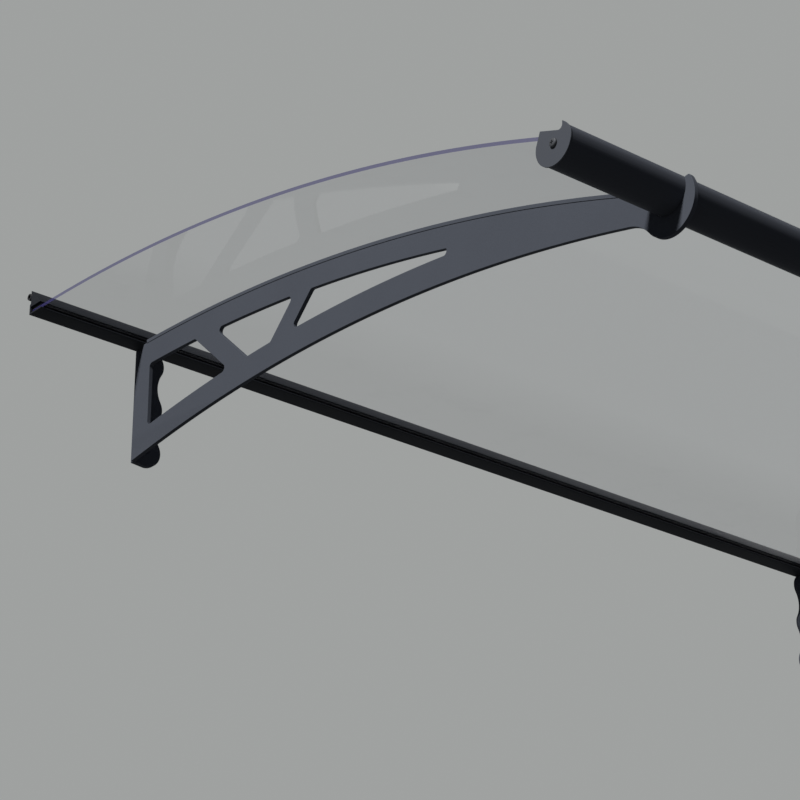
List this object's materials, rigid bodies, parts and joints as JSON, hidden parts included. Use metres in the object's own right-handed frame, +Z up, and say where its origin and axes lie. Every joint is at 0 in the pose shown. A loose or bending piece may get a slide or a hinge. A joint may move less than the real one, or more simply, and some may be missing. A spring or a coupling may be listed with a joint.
{
  "type": "door canopy",
  "caption": "Clear arched door canopy with a slotted wall rail, a round front gutter bar and open truss brackets under the sheet.",
  "frame": {"origin": "middle of the wall rail's flat back face, halfway along its length", "axes": "+X to the right along the wall as seen facing it, +Y into the wall, +Z up; the canopy reaches out along -Y"},
  "size_m": [1.5058, 0.9578, 0.2674],
  "materials": {
    "roof_sheet": "clear, polished",
    "wall_rail": "satin powder coat",
    "wall_rail_seal": "matte",
    "rail_gasket": "matte",
    "front_gutter": "satin powder coat",
    "gutter_gasket_upper": "matte",
    "gutter_gasket_lower": "matte",
    "end_cap_left": "fine matte",
    "end_cap_right": "fine matte",
    "end_cap_screw_left": "zinc plated",
    "end_cap_screw_right": "zinc plated",
    "bracket_left": "matte powder coat",
    "bracket_right": "matte powder coat"
  },
  "bodies": {
    "root": {"roof_sheet": "roof_sheet", "wall_rail": "wall_rail", "wall_rail_seal": "wall_rail_seal", "rail_gasket": "rail_gasket", "front_gutter": "front_gutter", "gutter_gasket_upper": "gutter_gasket_upper", "gutter_gasket_lower": "gutter_gasket_lower", "end_cap_left": "end_cap_left", "end_cap_right": "end_cap_right", "end_cap_screw_left": "end_cap_screw_left", "end_cap_screw_right": "end_cap_screw_right", "bracket_left": "bracket_left", "bracket_right": "bracket_right"}
  },
  "joints": []
}
